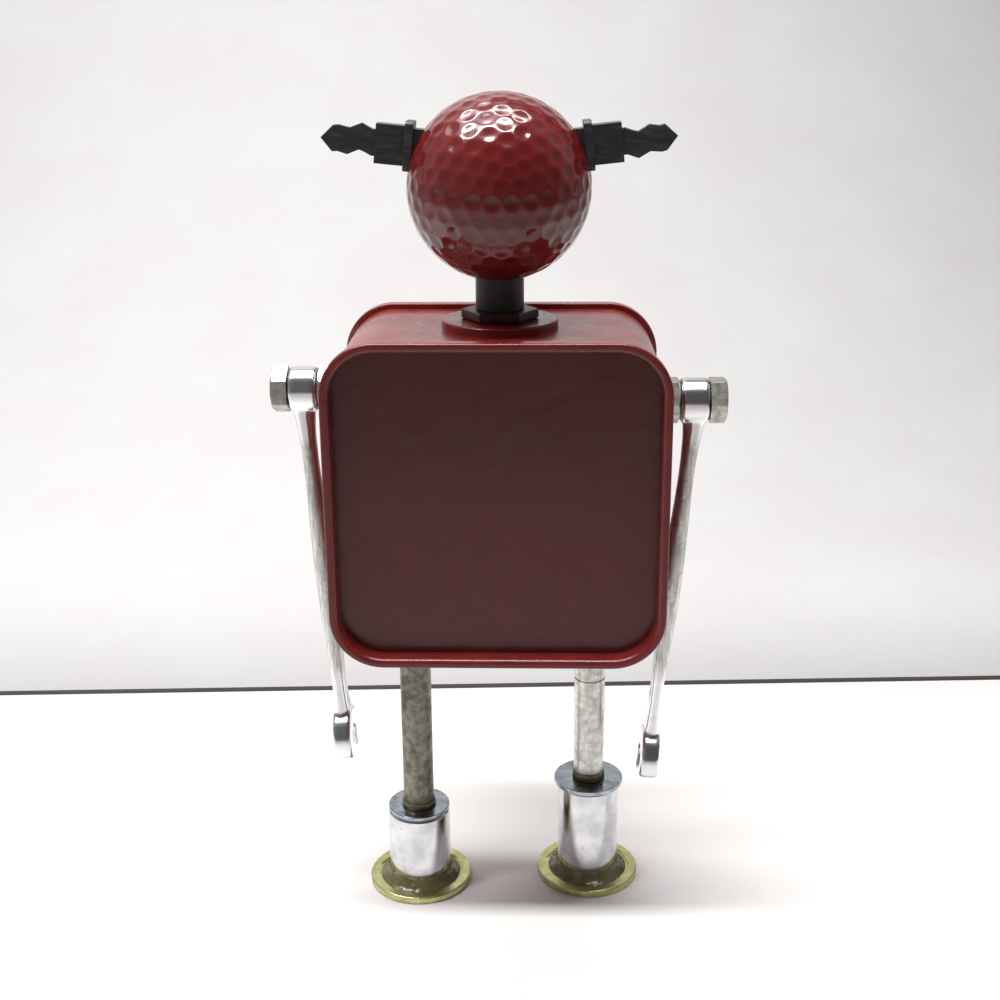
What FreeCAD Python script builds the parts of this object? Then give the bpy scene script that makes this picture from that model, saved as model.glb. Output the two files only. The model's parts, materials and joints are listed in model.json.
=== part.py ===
"""Robot figure put together from found hardware.

A square tin is the body, a dimpled ball the head, two moulded keys the ears, two combination
wrenches the arms, and two steel rods in chrome sleeves on brass discs the legs and feet.

Millimetres, +Z up. The origin is on the floor under the middle of the tin. The tin's seamed rear
panel looks along -Y, its press-in lid along +Y, and the figure's left side is at -X.
"""
import FreeCAD, Part
import math
import os

V = FreeCAD.Vector
X_AXIS, Y_AXIS, Z_AXIS = V(1, 0, 0), V(0, 1, 0), V(0, 0, 1)

# ---------------------------------------------------------------- tin
TIN_WIDTH = 79.2            # over the rims, along X
TIN_HEIGHT = 78.2           # over the rims, along Z
TIN_DEPTH = 52.0            # rim face to rim face, along Y
TIN_CORNER_R = 12.6         # outer corner of a rim
TIN_BASE_Z = 72.7           # underside of the rims over the floor
SHEET = 0.4                 # painted tinplate
RIM_PROUD = 1.3             # rim beyond the wall
SEAM_LENGTH = 3.2           # rim along Y
SEAM_CAP = 1.0              # metal of the rim past the wall's end
SEAM_GAP = 0.05             # sealing gap round the wall's edge inside a seam
RIM_ROUND = 0.6
REAR_MOUTH_ROUND = 1.1      # rear rim's inner edge, rolled softly into the recess
REAR_RECESS = 4.5           # rear panel behind its rim face
FRONT_RECESS = 3.0          # lid ledge behind its rim face
LEDGE_WIDTH = 3.0
MOUTH_COLLAR = 2.6          # turned-in collar of the mouth, along Y
LID_GAP = 0.5               # lid flange to the recess around it
LID_FIT = 0.06              # lid plug in the mouth collar
LID_PLUG = 4.6              # depth of the lid's plug
LID_CROWN = 1.2             # raised field of the lid over its flange
LID_STEP = 4.0              # plug wall to the raised field
SIDE_SEAM_WIDTH = 4.5       # lock seam along the tin's underside, on the inside

# ---------------------------------------------------------------- head and neck
BALL_D = 42.67
HEAD_X = 0.4
NECK_LENGTH = 6.665         # collar top to the ball's lowest point
POST_D = 11.4
POST_SUNK = 4.6             # post's end inside the ball
COLLAR_AF = 16.0
COLLAR_T = 2.2
PLATE_D = 27.6              # large washer on the tin's top
PLATE_T = 2.1
PLATE_EDGE_R = 0.5
STUD_D = 5.0
STUD_SUNK = 6.0             # stud's end past the post, in the ball
STUD_TAIL = 1.5             # stud past the lock nut
NECK_WASHER_D = 10.0
NECK_WASHER_T = 1.0
NECK_NUT_AF = 8.0
NECK_NUT_H = 5.0
GLUE_GAP = 0.05             # round a piece glued in its socket
TURN_GAP = 0.05             # between faces that turn on each other
TURN_FIT = 0.08             # radial clearance of the turning stud

# ---------------------------------------------------------------- ears
EAR_STAND = 2.27            # flange's outer face beyond the ball's surface, along X
EAR_UP = 9.45               # ball centre to the ear's axis at that face
EAR_TILT = 5.8              # degrees, rising outwards
EAR_FLANGE = (1.9, 8.0, 11.2)       # along the ear, across, high
EAR_BLOCK = (6.7, 5.0, 8.9)
EAR_ROOT = (7.0, 4.4, 8.0)
EAR_FLANGE_ROUND = 1.2
EAR_LENGTH = 19.2           # flange face to the tip
EAR_BLADE_HALF = 3.0        # half the blade's height where it leaves the block
EAR_RIDGE_T = 2.8           # blade thickness at its middle line
EAR_EDGE_T = 1.2            # blade thickness at its edges
EAR_BITTING_HIGH = ((7.6, 3.0), (10.1, 4.1), (12.8, 2.8), (15.4, 3.2), (16.6, 3.0))
EAR_BITTING_LOW = ((7.6, -3.0), (9.1, -2.3), (10.4, -1.9), (13.0, -3.2), (15.3, -2.7), (16.5, -2.9))

# ---------------------------------------------------------------- arms
BOLT_D = 6.0
BOLT_AF = 10.0
BOLT_HEAD = 4.0
BOLT_NUT_H = 5.0
BOLT_TAIL = 1.2             # bolt past its inner nut
BOLT_WASHER_D = 12.0
BOLT_WASHER_T = 1.4
HOLE_CLEARANCE = 0.2        # radial, a bolt or rod in a drilled hole
RING_OD = 10.9
RING_T = 7.0
RING_ROUND = 0.8
RING_FIT = 0.175            # radial, the bolt to the flats of the twelve-point opening
RING_PLAY = 0.1             # wrench ring to nut and to bolt head
SHANK_OFFSET = 0.6          # shank line outside the ring's middle, at the bolt
SHANK_START = 3.9           # from the bolt's axis
SHANK_SECTIONS = (          # distance from the bolt, thickness along X, width along Y
    (12.0, 4.0, 5.6),
    (30.0, 4.2, 5.6),
    (60.0, 4.4, 6.2),
)
SHANK_ROOT = (6.0, 6.6)     # thickness, width where it meets the ring
SHANK_NECK = (4.4, 7.4)     # thickness, width where it meets the jaw
JAW_R = 7.6
JAW_T = 4.7
JAW_OPENING = 6.35
JAW_REACH = 5.0             # jaw centre to the flat tips
JAW_THROAT = 2.6            # slot's end behind the jaw centre
JAW_ROUND = 0.5
# Each side's bolt below the tin's top wall, the wrench's inward lean in degrees, its length from the
# ring's middle to the tips, the jaw's tilt and the turn of the bolt's hexagon.
ARMS = {
    "left": (15.1, 4.2, 98.0, 5.0, 0.0),
    "right": (17.9, 5.5, 100.8, 15.0, 30.0),
}

# ---------------------------------------------------------------- legs and feet
ROD_D = 7.9
ROD_NUT_AF = 13.0
ROD_NUT_H = 6.5
ROD_TAIL = 3.0              # rod past its inner nut
ROD_WASHER_D = 16.0
ROD_WASHER_T = 1.6
ROD_GROOVE = (57.5, 0.7, 0.25)      # height over the floor, width, depth; right rod only
SLEEVE_CHAMFER = 0.7
SLEEVE_FIT = 0.05
DISC_D = 26.7
DISC_T = 1.9
DISC_RIM_SIDES = 11
DISC_FIELD_AF = 21.6        # polygonal field inside the raised rim, across its inscribed circle
DISC_FIELD_DEPTH = 0.3
DISC_EDGE_R = 0.4
EPOXY_REACH = 2.4           # fillet round the sleeve, outwards
EPOXY_RISE = 2.7            # and up
# Each side's leg axis in from the tin's side, its Y, the sleeve's diameter and length, the washer's
# diameter and thickness, and the glue bead's reach and height round the rod.
FEET = {
    "left": (17.8, -1.9, 16.2, 19.9, 16.0, 1.0, 0.45, 1.5),
    "right": (16.6, 1.9, 15.9, 25.9, 18.0, 1.3, 0.25, 2.2),
}

# ---------------------------------------------------------------- shapes of hexagons and curves
HEX_FACE = 0.96             # a turned-off hexagon's round face over its width across flats
HEX_TURNED = 30.0           # degrees of that turned corner
OVAL_END = 0.8              # rise of an oval's end over its half thickness
JAW_MEET = 0.8              # where the shank ends in the jaw, over the jaw's radius
EPOXY_HOLLOW = 0.38         # middle of the hollow glue fillet over its reach and rise
BEAD_PROFILE = ((0.6, 0.0), (1.0, 0.3), (1.0, 0.6), (0.5, 0.9))     # over the bead's reach and height

# ---------------------------------------------------------------- heights and faces that follow
WALL_X = TIN_WIDTH / 2 - RIM_PROUD
WALL_TOP_Z = TIN_BASE_Z + TIN_HEIGHT - RIM_PROUD
WALL_BASE_Z = TIN_BASE_Z + RIM_PROUD
TIN_MID_Z = TIN_BASE_Z + TIN_HEIGHT / 2
REAR_Y = -TIN_DEPTH / 2
FRONT_Y = TIN_DEPTH / 2
RECESS_INSET = RIM_PROUD + 2 * SHEET + 2 * SEAM_GAP
MOUTH_INSET = RECESS_INSET + LEDGE_WIDTH
LEDGE_Y = FRONT_Y - FRONT_RECESS
PLATE_TOP_Z = WALL_TOP_Z + PLATE_T
COLLAR_Z = PLATE_TOP_Z + TURN_GAP
POST_Z = COLLAR_Z + COLLAR_T
BALL_Z = POST_Z + NECK_LENGTH + BALL_D / 2
EAR_OUT = math.sqrt((BALL_D / 2) ** 2 - EAR_UP ** 2) + EAR_STAND
POST_TOP_Z = BALL_Z - BALL_D / 2 + POST_SUNK
NECK_WASHER_Z = WALL_TOP_Z - SHEET - NECK_WASHER_T
NECK_NUT_Z = NECK_WASHER_Z - TURN_GAP - NECK_NUT_H
RING_AF = BOLT_D + 2 * RING_FIT
RING_INNER_X = WALL_X + BOLT_NUT_H + RING_PLAY
HEAD_INNER_X = RING_INNER_X + RING_T + RING_PLAY
INNER_CORNER_R = TIN_CORNER_R - RIM_PROUD - SHEET
FLAT_HALF_X = TIN_WIDTH / 2 - TIN_CORNER_R
FLAT_HALF_Z = TIN_HEIGHT / 2 - TIN_CORNER_R
FIELD_Z = DISC_T - DISC_FIELD_DEPTH
SIDES = {"left": -1, "right": 1}


def shoulder_z(side):
    """Height of the bolt that an arm swings on."""
    return WALL_TOP_Z - ARMS[side][0]


def leg_axis(side):
    """Where a leg's axis meets the floor."""
    inset, y = FEET[side][:2]
    return V(SIDES[side] * (TIN_WIDTH / 2 - inset), y, 0)


def corner_rise(reach):
    """How far a washer stands off a wall's flat when its edge reaches onto the tin's inner corner."""
    past = max(0.0, reach)
    return INNER_CORNER_R - math.sqrt(INNER_CORNER_R ** 2 - past ** 2)


def cylinder(radius, length, base, axis=Z_AXIS):
    """A round bar from its base point along its axis."""
    return Part.makeCylinder(radius, length, base, axis)


def tube(outer_r, inner_r, length, base, axis=Z_AXIS):
    """A bar with a hole right through."""
    return cylinder(outer_r, length, base, axis).cut(cylinder(inner_r, length + 2, base - axis, axis))


def polygon_prism(across_flats, sides, height, turn=0.0):
    """An upright prism on the origin. Its first corner points along +X before the turn, in degrees."""
    radius = across_flats / 2 / math.cos(math.pi / sides)
    corners = []
    for i in range(sides + 1):
        angle = math.radians(turn) + 2 * math.pi * i / sides
        corners.append(V(radius * math.cos(angle), radius * math.sin(angle), 0))
    return Part.Face(Part.makePolygon(corners)).extrude(V(0, 0, height))


def hex_body(across_flats, height, turn, both_ends):
    """A hexagon on the origin with its corners turned off, at the top or at both ends."""
    corner_r = across_flats / math.sqrt(3)
    face_r = HEX_FACE * across_flats / 2
    drop = (corner_r - face_r) * math.tan(math.radians(HEX_TURNED))
    profile = [V(0, 0, 0)]
    if both_ends:
        profile += [V(face_r, 0, 0), V(corner_r, 0, drop)]
    else:
        profile.append(V(corner_r, 0, 0))
    profile += [V(corner_r, 0, height - drop), V(face_r, 0, height), V(0, 0, height), V(0, 0, 0)]
    turned = Part.Face(Part.makePolygon(profile)).revolve(V(0, 0, 0), Z_AXIS, 360)
    return polygon_prism(across_flats, 6, height, turn).common(turned)


def place(shape, base, axis=Z_AXIS):
    """Move a shape modelled upright on the origin to a base point, with its Z along the axis."""
    placed = shape.copy()
    placed.Placement = FreeCAD.Placement(base, FreeCAD.Rotation(Z_AXIS, axis))
    return placed


def hex_nut(across_flats, height, bore_r, base, axis=Z_AXIS, turn=0.0):
    """A hexagon nut with its bore."""
    nut = hex_body(across_flats, height, turn, both_ends=True)
    return place(nut.cut(cylinder(bore_r, height + 2, V(0, 0, -1))), base, axis)


def circles_at(shape, z, diameter):
    """The level edges of a turned shape at a height, of one diameter."""
    edges = [e for e in shape.Edges if abs(e.BoundBox.ZMin - z) < 1e-3 and abs(e.BoundBox.ZMax - z) < 1e-3]
    return [e for e in edges if abs(e.BoundBox.XLength - diameter) < 1e-2]


def rounded_block(inset, y_from, y_to):
    """A block with the tin's rounded-square outline, drawn in by the inset, between two Y planes."""
    half_x = TIN_WIDTH / 2 - inset
    half_z = TIN_HEIGHT / 2 - inset
    radius = TIN_CORNER_R - inset
    block = Part.makeBox(2 * half_x, y_to - y_from, 2 * half_z, V(-half_x, y_from, TIN_MID_Z - half_z))
    corners = [e for e in block.Edges if abs(e.tangentAt(e.FirstParameter).y) > 0.99]
    return block.makeFillet(radius, corners)


def round_loop(shape, y, inset, radius):
    """Round the loop of edges that lies at a Y plane and follows the outline of an inset."""
    half_x = TIN_WIDTH / 2 - inset
    loop = []
    for edge in shape.Edges:
        box = edge.BoundBox
        reach = max(abs(box.XMin), abs(box.XMax))
        high = max(abs(box.ZMin - TIN_MID_Z), abs(box.ZMax - TIN_MID_Z))
        at_plane = abs(box.YMin - y) < 1e-3 and abs(box.YMax - y) < 1e-3
        on_side = abs(reach - half_x) < 1e-2 or abs(high - (TIN_HEIGHT / 2 - inset)) < 1e-2
        if at_plane and on_side:
            loop.append(edge)
    return shape.makeFillet(radius, loop)


# ---------------------------------------------------------------- tin pieces
def tin_wall():
    """The tube of the tin, with a lock seam inside its base and its drilled holes."""
    y_end = TIN_DEPTH / 2 - SEAM_CAP
    wall = rounded_block(RIM_PROUD, -y_end, y_end)
    wall = wall.cut(rounded_block(RIM_PROUD + SHEET, -y_end - 1, y_end + 1))
    seam_y = TIN_DEPTH / 2 - REAR_RECESS - SEAM_LENGTH
    seam = Part.makeBox(SIDE_SEAM_WIDTH, 2 * seam_y, 2 * SHEET, V(-SIDE_SEAM_WIDTH / 2, -seam_y, WALL_BASE_Z))
    wall = wall.fuse(seam).removeSplitter()
    reach = 5 * SHEET
    drill = 2 * reach
    for side, sign in SIDES.items():
        shoulder = V(sign * (WALL_X - reach), 0, shoulder_z(side))
        wall = wall.cut(cylinder(BOLT_D / 2 + HOLE_CLEARANCE, drill, shoulder, X_AXIS * sign))
        foot = leg_axis(side) + V(0, 0, WALL_BASE_Z - reach)
        wall = wall.cut(cylinder(ROD_D / 2 + HOLE_CLEARANCE, drill, foot))
    return wall.cut(cylinder(STUD_D / 2 + HOLE_CLEARANCE, drill, V(HEAD_X, 0, WALL_TOP_Z - reach)))


def seam_rim(y_face, inward):
    """The rolled rim at one end: a rounded block with the groove that the wall's edge sits in."""
    y_back = y_face + inward * SEAM_LENGTH
    low, high = min(y_face, y_back), max(y_face, y_back)
    rim = rounded_block(0, low, high)
    rim = round_loop(rim, y_face, 0, RIM_ROUND)
    rim = round_loop(rim, y_back, 0, RIM_ROUND / 2)
    groove_low = min(y_face + inward * SEAM_CAP, y_back + inward)
    groove_high = max(y_face + inward * SEAM_CAP, y_back + inward)
    groove = rounded_block(RIM_PROUD - SEAM_GAP, groove_low, groove_high)
    core = rounded_block(RIM_PROUD + SHEET + SEAM_GAP, groove_low - 1, groove_high + 1)
    return rim.cut(groove.cut(core))


def rear_panel():
    """The rear end: its rim, the wall that drops into the tin, and the panel, in one stamping."""
    panel_back = REAR_Y + REAR_RECESS + SHEET
    drop = rounded_block(RIM_PROUD + SHEET + SEAM_GAP, REAR_Y + SEAM_CAP, panel_back)
    end = seam_rim(REAR_Y, 1).fuse(drop).removeSplitter()
    end = end.cut(rounded_block(RECESS_INSET, REAR_Y - 1, REAR_Y + REAR_RECESS))
    return round_loop(end, REAR_Y, RECESS_INSET, REAR_MOUTH_ROUND)


def front_ring():
    """The front end: its rim, a ledge for the lid's flange and a collar round the mouth."""
    ledge_back = LEDGE_Y - SHEET
    collar_back = LEDGE_Y - MOUTH_COLLAR
    drop = rounded_block(RIM_PROUD + SHEET + SEAM_GAP, ledge_back, FRONT_Y - SEAM_CAP)
    collar = rounded_block(MOUTH_INSET - SHEET, collar_back, LEDGE_Y)
    end = seam_rim(FRONT_Y, -1).fuse([drop, collar]).removeSplitter()
    end = end.cut(rounded_block(RECESS_INSET, LEDGE_Y, FRONT_Y + 1))
    end = end.cut(rounded_block(MOUTH_INSET, collar_back - 1, LEDGE_Y + 1))
    return round_loop(end, FRONT_Y, RECESS_INSET, RIM_ROUND)


def front_lid():
    """The press-in lid: a flange on the ledge, a plug wall in the mouth and a raised field."""
    flange_face = LEDGE_Y + SHEET
    plug_inset = MOUTH_INSET + LID_FIT
    field_inset = plug_inset + LID_STEP
    lid = rounded_block(RECESS_INSET + LID_GAP, LEDGE_Y, flange_face)
    plug = rounded_block(plug_inset, LEDGE_Y - LID_PLUG, LEDGE_Y)
    field = rounded_block(field_inset, LEDGE_Y, flange_face + LID_CROWN)
    lid = lid.fuse([plug, field]).removeSplitter()
    lid = lid.cut(rounded_block(plug_inset + SHEET, LEDGE_Y - LID_PLUG - 1, LEDGE_Y))
    lid = lid.cut(rounded_block(field_inset + SHEET, LEDGE_Y - 1, flange_face + LID_CROWN - SHEET))
    return round_loop(lid, flange_face + LID_CROWN, field_inset, RIM_ROUND)


# ---------------------------------------------------------------- head and neck pieces
def ear_frame(side):
    """Placement of an ear: local X runs outwards along it and local Z is up across it."""
    sign = SIDES[side]
    tilt = math.radians(EAR_TILT)
    along = V(sign * math.cos(tilt), 0, math.sin(tilt))
    up = V(-sign * math.sin(tilt), 0, math.cos(tilt))
    base = V(HEAD_X + sign * EAR_OUT, 0, BALL_Z + EAR_UP)
    return FreeCAD.Placement(base, FreeCAD.Rotation(along, up.cross(along), up, "ZXY"))


def ear_slab(size, start, grow=0.0):
    """A block of an ear, centred on the ear's axis, from a start along it."""
    length, across, high = size
    base = V(start - grow, -across / 2 - grow, -high / 2 - grow)
    return Part.makeBox(length + 2 * grow, across + 2 * grow, high + 2 * grow, base)


def ear_key(side):
    """A moulded key: root, flange, block and a blade cut on both edges with a middle ridge."""
    block_end = EAR_BLOCK[0]
    outline = [V(block_end - 1, 0, -EAR_BLADE_HALF), V(block_end - 1, 0, EAR_BLADE_HALF)]
    outline += [V(u, 0, v) for u, v in EAR_BITTING_HIGH]
    outline.append(V(EAR_LENGTH, 0, 0))
    outline += [V(u, 0, v) for u, v in reversed(EAR_BITTING_LOW)]
    outline.append(outline[0])
    blade = Part.Face(Part.makePolygon(outline)).extrude(V(0, 2 * EAR_RIDGE_T, 0))
    blade.translate(V(0, -EAR_RIDGE_T, 0))
    half_high = EAR_BLOCK[2] / 2
    ridge, edge = EAR_RIDGE_T / 2, EAR_EDGE_T / 2
    section = [(ridge, 0), (edge, half_high), (-edge, half_high), (-ridge, 0), (-edge, -half_high),
               (edge, -half_high), (ridge, 0)]
    roof = Part.Face(Part.makePolygon([V(0, y, z) for y, z in section])).extrude(V(EAR_LENGTH, 0, 0))
    blade = blade.common(roof)
    block = ear_slab(EAR_BLOCK, 0)
    flange = ear_slab(EAR_FLANGE, -EAR_FLANGE[0])
    upright = [e for e in flange.Edges if abs(e.tangentAt(e.FirstParameter).x) > 0.99]
    flange = flange.makeFillet(EAR_FLANGE_ROUND, upright)
    root = ear_slab(EAR_ROOT, -EAR_FLANGE[0] - EAR_ROOT[0])
    ear = block.fuse([blade, flange, root]).removeSplitter()
    if SIDES[side] > 0:
        ear.rotate(V(0, 0, 0), X_AXIS, 180)
    ear.Placement = ear_frame(side).multiply(ear.Placement)
    return ear


def ear_socket(side):
    """What is cut from the ball for an ear: its root and the seat of its flange."""
    root = ear_slab(EAR_ROOT, -EAR_FLANGE[0] - EAR_ROOT[0], GLUE_GAP)
    flange = ear_slab(EAR_FLANGE, -EAR_FLANGE[0], GLUE_GAP)
    socket = root.fuse(flange).removeSplitter()
    socket.Placement = ear_frame(side)
    return socket


def head_ball():
    """The ball, with sockets for the post, the stud and both ears."""
    ball = Part.makeSphere(BALL_D / 2, V(HEAD_X, 0, BALL_Z))
    post_hole = cylinder(POST_D / 2 + GLUE_GAP, BALL_D, V(HEAD_X, 0, POST_TOP_Z + GLUE_GAP - BALL_D))
    stud_hole = cylinder(STUD_D / 2 + GLUE_GAP, STUD_SUNK + GLUE_GAP, V(HEAD_X, 0, POST_TOP_Z))
    ball = ball.cut(post_hole).cut(stud_hole)
    for side in SIDES:
        ball = ball.cut(ear_socket(side))
    return ball


def neck_pieces():
    """Everything on the neck's axis, from the ball's socket to the lock nut inside the tin."""
    axis_at = lambda z: V(HEAD_X, 0, z)
    bore_r = STUD_D / 2 + GLUE_GAP
    turn_r = STUD_D / 2 + TURN_FIT
    stud_z = NECK_NUT_Z - STUD_TAIL
    collar = polygon_prism(COLLAR_AF, 6, COLLAR_T).cut(cylinder(bore_r, COLLAR_T + 2, V(0, 0, -1)))
    plate = tube(PLATE_D / 2, turn_r, PLATE_T, axis_at(WALL_TOP_Z))
    rim_edges = circles_at(plate, PLATE_TOP_Z, PLATE_D)
    return {
        "neck_post": tube(POST_D / 2, bore_r, POST_TOP_Z - POST_Z, axis_at(POST_Z)),
        "neck_collar": place(collar, axis_at(COLLAR_Z)),
        "neck_plate_washer": plate.makeFillet(PLATE_EDGE_R, rim_edges),
        "neck_stud": cylinder(STUD_D / 2, POST_TOP_Z + STUD_SUNK - stud_z, axis_at(stud_z)),
        "neck_inner_washer": tube(NECK_WASHER_D / 2, turn_r, NECK_WASHER_T, axis_at(NECK_WASHER_Z)),
        "neck_lock_nut": hex_nut(NECK_NUT_AF, NECK_NUT_H, bore_r, axis_at(NECK_NUT_Z)),
    }


# ---------------------------------------------------------------- arm pieces
def shoulder_pieces(side):
    """The bolt that an arm swings on, its two nuts and its washer."""
    sign = SIDES[side]
    height, turn = shoulder_z(side), ARMS[side][4]
    outward = X_AXIS * sign
    at = lambda x: V(sign * x, 0, height)
    head = place(hex_body(BOLT_AF, BOLT_HEAD, turn, both_ends=False), at(HEAD_INNER_X), outward)
    washer_x = WALL_X - SHEET - BOLT_WASHER_T
    washer_x -= corner_rise(abs(height - TIN_MID_Z) + BOLT_WASHER_D / 2 - FLAT_HALF_Z)
    nut_x = washer_x - BOLT_NUT_H
    tail_x = nut_x - BOLT_TAIL
    shank = cylinder(BOLT_D / 2, HEAD_INNER_X - tail_x, at(tail_x), outward)
    bore_r = BOLT_D / 2 + GLUE_GAP
    washer_bore_r = BOLT_D / 2 + HOLE_CLEARANCE
    return {
        side + "_shoulder_bolt": head.fuse(shank).removeSplitter(),
        side + "_shoulder_outer_nut": hex_nut(BOLT_AF, BOLT_NUT_H, bore_r, at(WALL_X), outward, turn),
        side + "_shoulder_inner_washer": tube(
            BOLT_WASHER_D / 2, washer_bore_r, BOLT_WASHER_T, at(washer_x), outward),
        side + "_shoulder_inner_nut": hex_nut(BOLT_AF, BOLT_NUT_H, bore_r, at(nut_x), outward, turn),
    }


def oval_wire(thickness, width, z):
    """A level oval: flat-sided across X, half-round at both ends of Y."""
    half_t = thickness / 2
    straight = width / 2 - OVAL_END * half_t
    corners = [V(x, y, z) for x, y in ((half_t, -straight), (half_t, straight), (-half_t, straight),
                                       (-half_t, -straight))]
    far_tip, near_tip = V(0, width / 2, z), V(0, -width / 2, z)
    edges = [
        Part.makeLine(corners[0], corners[1]),
        Part.Arc(corners[1], far_tip, corners[2]).toShape(),
        Part.makeLine(corners[2], corners[3]),
        Part.Arc(corners[3], near_tip, corners[0]).toShape(),
    ]
    return Part.Wire(edges)


def open_jaw(centre_z, tilt):
    """The open end: a disc with a parallel slot that points down, turned by the tilt about X."""
    disc = cylinder(JAW_R, JAW_T, V(-JAW_T / 2, 0, 0), X_AXIS)
    across, past_face = JAW_T + 2, -JAW_T / 2 - 1
    tips = Part.makeBox(across, 4 * JAW_R, JAW_R, V(past_face, -2 * JAW_R, -JAW_REACH - JAW_R))
    throat_z = JAW_THROAT - JAW_OPENING / 2
    slot_low = V(past_face, -JAW_OPENING / 2, throat_z - 3 * JAW_R)
    slot = Part.makeBox(across, JAW_OPENING, 3 * JAW_R, slot_low)
    throat = cylinder(JAW_OPENING / 2, across, V(past_face, 0, throat_z), X_AXIS)
    jaw = disc.cut(tips).cut(slot.fuse(throat).removeSplitter())
    jaw = jaw.makeFillet(JAW_ROUND, [e for e in jaw.Edges if e.BoundBox.XLength < 1e-3])
    jaw.rotate(V(0, 0, 0), X_AXIS, -tilt)
    jaw.translate(V(0, 0, centre_z))
    return jaw


def arm_wrench(side):
    """A combination wrench: twelve-point ring on the bolt, leaning shank, open jaw for a hand."""
    lean, length, tilt = ARMS[side][1:4]
    jaw_z = -(length - JAW_REACH)
    rows = [(SHANK_START,) + SHANK_ROOT]
    rows += list(SHANK_SECTIONS)
    rows.append((-jaw_z - JAW_MEET * JAW_R,) + SHANK_NECK)
    shank = Part.makeLoft([oval_wire(t, w, -s) for s, t, w in rows], True, False)
    arm = shank.fuse(open_jaw(jaw_z, tilt))
    arm.translate(V(SHANK_OFFSET, 0, 0))
    arm.rotate(V(SHANK_OFFSET, 0, 0), Y_AXIS, lean)
    ring = cylinder(RING_OD / 2, RING_T, V(-RING_T / 2, 0, 0), X_AXIS)
    ring = ring.makeFillet(RING_ROUND, [e for e in ring.Edges if e.BoundBox.XLength < 1e-3])
    arm = arm.fuse(ring).removeSplitter()
    for turn in (0, 30):
        point = place(polygon_prism(RING_AF, 6, RING_T + 4, turn), V(-RING_T / 2 - 2, 0, 0), X_AXIS)
        arm = arm.cut(point)
    if SIDES[side] < 0:
        arm = arm.mirror(V(0, 0, 0), X_AXIS)
    arm.translate(V(SIDES[side] * (RING_INNER_X + RING_T / 2), 0, shoulder_z(side)))
    return arm


# ---------------------------------------------------------------- leg and foot pieces
def foot_disc(centre):
    """A disc with a rounded edge and a raised rim round a polygonal field."""
    disc = cylinder(DISC_D / 2, DISC_T, V(0, 0, 0))
    disc = disc.makeFillet(DISC_EDGE_R, [e for e in disc.Edges if e.BoundBox.ZLength < 1e-3])
    field = polygon_prism(DISC_FIELD_AF, DISC_RIM_SIDES, DISC_T)
    field.translate(V(0, 0, FIELD_Z))
    disc = disc.cut(field)
    disc.translate(centre)
    return disc


def turned_ring(profile, centre):
    """A ring turned from (radius, height) points, the last joined to the first."""
    points = [V(r, 0, z) for r, z in profile]
    ring = Part.Face(Part.makePolygon(points + [points[0]])).revolve(V(0, 0, 0), Z_AXIS, 360)
    ring.translate(centre)
    return ring


def epoxy_fillet(sleeve_r, centre):
    """Glue round a sleeve's foot: a hollow curve from the disc up to the sleeve."""
    inner_r = sleeve_r + GLUE_GAP
    low = V(inner_r + EPOXY_REACH, 0, 0)
    high = V(inner_r, 0, EPOXY_RISE)
    middle = V(inner_r + EPOXY_HOLLOW * EPOXY_REACH, 0, EPOXY_HOLLOW * EPOXY_RISE)
    foot = V(inner_r, 0, 0)
    edges = [Part.makeLine(foot, low), Part.Arc(low, middle, high).toShape(), Part.makeLine(high, foot)]
    fillet = Part.Face(Part.Wire(edges)).revolve(V(0, 0, 0), Z_AXIS, 360)
    fillet.translate(centre)
    return fillet


def leg_pieces(side):
    """A leg from the nut inside the tin down to the disc it stands on."""
    sleeve_d, sleeve_length, washer_d, washer_t, bead_r, bead_h = FEET[side][2:]
    axis = leg_axis(side)
    at = lambda z: axis + V(0, 0, z)
    rod_r = ROD_D / 2
    sleeve_top = FIELD_Z + sleeve_length
    washer_top = sleeve_top + washer_t
    seat_z = WALL_BASE_Z + SHEET + corner_rise(abs(axis.x) + ROD_WASHER_D / 2 - FLAT_HALF_X)
    nut_z = seat_z + ROD_WASHER_T
    rod = cylinder(rod_r, nut_z + ROD_NUT_H + ROD_TAIL - FIELD_Z, at(FIELD_Z))
    if side == "right":
        groove_z, groove_w, groove_d = ROD_GROOVE
        rod = rod.cut(tube(rod_r + 1, rod_r - groove_d, groove_w, at(groove_z)))
    sleeve = tube(sleeve_d / 2, rod_r + SLEEVE_FIT, sleeve_length, at(FIELD_Z))
    top_edge = circles_at(sleeve, sleeve_top, sleeve_d)
    nut_bore_r = rod_r + GLUE_GAP
    bead = [(nut_bore_r, 0.0)]
    bead += [(rod_r + reach * bead_r, rise * bead_h) for reach, rise in BEAD_PROFILE]
    bead.append((nut_bore_r, bead_h))
    return {
        side + "_leg_rod": rod,
        side + "_leg_outer_nut": hex_nut(ROD_NUT_AF, ROD_NUT_H, nut_bore_r, at(WALL_BASE_Z - ROD_NUT_H)),
        side + "_leg_inner_washer": tube(
            ROD_WASHER_D / 2, rod_r + HOLE_CLEARANCE, ROD_WASHER_T, at(seat_z)),
        side + "_leg_inner_nut": hex_nut(ROD_NUT_AF, ROD_NUT_H, nut_bore_r, at(nut_z)),
        side + "_rod_glue": turned_ring(bead, at(washer_top)),
        side + "_foot_washer": tube(washer_d / 2, rod_r + HOLE_CLEARANCE, washer_t, at(sleeve_top)),
        side + "_foot_sleeve": sleeve.makeChamfer(SLEEVE_CHAMFER, top_edge),
        side + "_foot_glue": epoxy_fillet(sleeve_d / 2, at(FIELD_Z)),
        side + "_foot_disc": foot_disc(at(0)),
    }


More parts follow.
